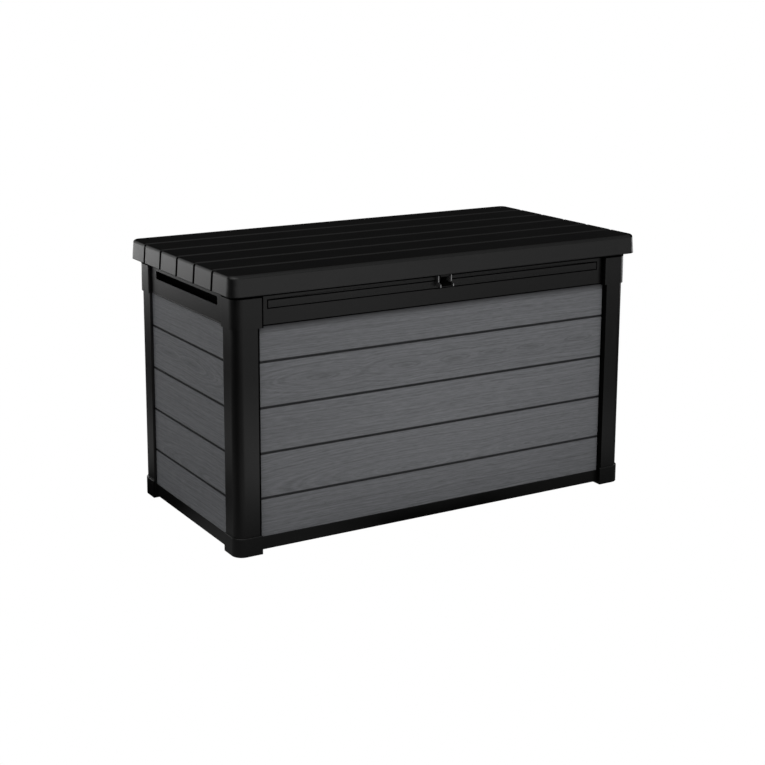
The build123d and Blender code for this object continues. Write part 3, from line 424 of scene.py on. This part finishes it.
def finish_edges(piece, width):
    """Joins the facets, rounds the sharp edges and keeps flat faces flat."""
    for polygon in piece.data.polygons:
        polygon.use_smooth = True
    weld = piece.modifiers.new("join", "WELD")
    weld.merge_threshold = JOIN_DISTANCE
    bevel = piece.modifiers.new("round", "BEVEL")
    bevel.width = width
    bevel.segments = 3
    bevel.limit_method = "ANGLE"
    bevel.angle_limit = math.radians(SHARP_ANGLE)
    bevel.use_clamp_overlap = True
    bevel.miter_outer = "MITER_ARC"
    even = piece.modifiers.new("even", "WEIGHTED_NORMAL")
    even.mode = "FACE_AREA"
    even.weight = 100
    even.keep_sharp = False


for name, piece in nodes.items():
    piece.data.materials.clear()
    piece.data.materials.append(look_of(name))
    finish_edges(piece, edge_width(name))

# Soft lights of the sky: azimuth from +X, elevation and half width in degrees, and strength
SKY = {
    "back_low": (60, 12, 42, 0.012),
    "left_low": (120, 8, 32, 0.75),
    "front_low": (300, 8, 32, 0.10),
    "key_left": (205, 46, 42, 0.95),
    "key": (258, 34, 42, 0.75),
    "key_right": (300, 32, 42, 0.25),
    "top": (0, 90, 60, 0.32),
    "top_front": (240, 62, 42, 0.10),
}

# Pools of light on the floor: azimuth from +X and half width in degrees, and strength close to the box and
# past each of the rings
FLOOR = {
    "back_right": (50, 80, (0.15, 0.15, 0.00, 0.00)),
    "left": (120, 55, (0.00, 0.10, 0.00, 1.20)),
    "left_front": (160, 50, (0.00, 0.10, 0.00, 0.20)),
    "corner": (206, 42, (0.12, 0.06, 0.00, 0.00)),
    "front_left": (245, 36, (0.00, 0.25, 0.00, 0.25)),
    "front": (275, 36, (0.00, 0.70, 0.10, 0.65)),
    "front_right": (305, 36, (0.00, 0.25, 0.05, 0.60)),
    "right": (340, 45, (0.07, 0.07, 0.00, 0.00)),
}

# Rings on the floor where the strength changes, as distances from the box in metres, the half width and half
# depth that they are measured from, and the least distance that the logarithm takes
FLOOR_RINGS = [(0.12, 0.6), (0.6, 2.4), (2.4, 8.5)]
FOOTPRINT = (0.72, 0.35)
LEAST_DISTANCE = 0.01


def toward(azimuth, elevation=0.0):
    """Unit vector to a direction in degrees."""
    a = math.radians(azimuth)
    e = math.radians(elevation)
    return (math.cos(e) * math.cos(a), math.cos(e) * math.sin(a), math.sin(e))


def lobe(t, direction, middle, half_width):
    """Smooth spot round a middle direction."""
    dot = t.node("VectorMath", operation="DOT_PRODUCT")
    t.put(dot.inputs[0], direction)
    t.put(dot.inputs[1], middle)
    return t.span(dot.outputs["Value"], math.cos(math.radians(half_width)), 1.0)


def sky_light():
    """Dark world with the soft lights of the sky."""
    world = bpy.data.worlds.new("studio")
    scene.world = world
    world.use_nodes = True
    t = Tree(world.node_tree)
    direction = t.node("TexCoord").outputs["Generated"]
    total = 0.0
    for azimuth, elevation, half_width, strength in SKY.values():
        part = lobe(t, direction, toward(azimuth, elevation), half_width)
        total = t.add(total, t.mul(part, strength))
    t.end(t.node("Background", {"Color": grey(1.0), "Strength": total}), "OutputWorld")


def floor_light(t):
    """Glow of the floor, pool by pool and ring by ring."""
    x, y = t.place()[1:3]
    direction = t.node("VectorMath", {0: t.vector(x, y, 0.0)}, operation="NORMALIZE").outputs[0]
    out_x = t.max(t.sub(t.abs(x), FOOTPRINT[0]), 0.0)
    out_y = t.max(t.sub(t.abs(y), FOOTPRINT[1]), 0.0)
    away = t.math("LOGARITHM", t.add(t.length(out_x, out_y), LEAST_DISTANCE), math.e)
    steps = [t.span(away, math.log(near), math.log(far)) for near, far in FLOOR_RINGS]
    total = 0.0
    for azimuth, half_width, strengths in FLOOR.values():
        part = lobe(t, direction, toward(azimuth), half_width)
        level = strengths[0]
        for step, before, after in zip(steps, strengths, strengths[1:]):
            level = t.add(level, t.mul(step, after - before))
        total = t.add(total, t.mul(part, level))
    t.glow(total)


def stage_square(name, reach, height):
    """Flat square of the stage, with an empty material."""
    mesh = bpy.data.meshes.new(name)
    mesh.from_pydata([(-reach, -reach, height), (reach, -reach, height), (reach, reach, height),
                      (-reach, reach, height)], [], [(0, 1, 2, 3)])
    material, t = new_tree(name)
    mesh.materials.append(material)
    made = bpy.data.objects.new(name, mesh)
    scene.collection.objects.link(made)
    made.visible_shadow = False
    return made, t


# Pale floor that only the camera sees, and below it the lit floor that the box mirrors
floor, floor_tree = stage_square("floor", 300.0, 0.0)
floor.visible_diffuse = False
floor.visible_glossy = False
floor.visible_transmission = False
floor_tree.glow(1.0)
lit_floor, lit_tree = stage_square("lit_floor", 60.0, -0.001)
lit_floor.visible_camera = False
lit_floor.active_material.cycles.emission_sampling = "NONE"
floor_light(lit_tree)
sky_light()


def fill(name, place, facing, width, height, power):
    """Low soft light for a side that the photograph does not show."""
    light = bpy.data.lights.new(name, "AREA")
    light.shape = "RECTANGLE"
    light.size = width
    light.size_y = height
    light.energy = power
    made = bpy.data.objects.new(name, light)
    made.location = place
    made.rotation_euler = Vector(facing).to_track_quat("-Z", "Y").to_euler()
    made.visible_camera = False
    scene.collection.objects.link(made)


fill("fill_right", (2.4, 0.1, 0.60), facing=(-1.0, 0.0, 0.0), width=1.8, height=0.40, power=5.0)
fill("fill_back", (0.0, 2.2, 0.60), facing=(0.0, -1.0, 0.0), width=2.6, height=0.40, power=8.0)

# Camera of the photograph
camera_data = bpy.data.cameras.new("camera")
camera_data.lens = 71.417
camera_data.sensor_width = 36.0
camera_data.clip_end = 2000.0
camera_data.shift_x = 0.0483
camera_data.shift_y = -0.1329
camera = bpy.data.objects.new("camera", camera_data)
camera.location = (-2.5665, -4.2089, 1.6926)
aim = Vector((-0.15136, 0.0, 0.7256))
camera.rotation_euler = (aim - camera.location).to_track_quat("-Z", "Y").to_euler()
scene.collection.objects.link(camera)
scene.camera = camera

scene.view_settings.view_transform = "Standard"
scene.view_settings.look = "None"
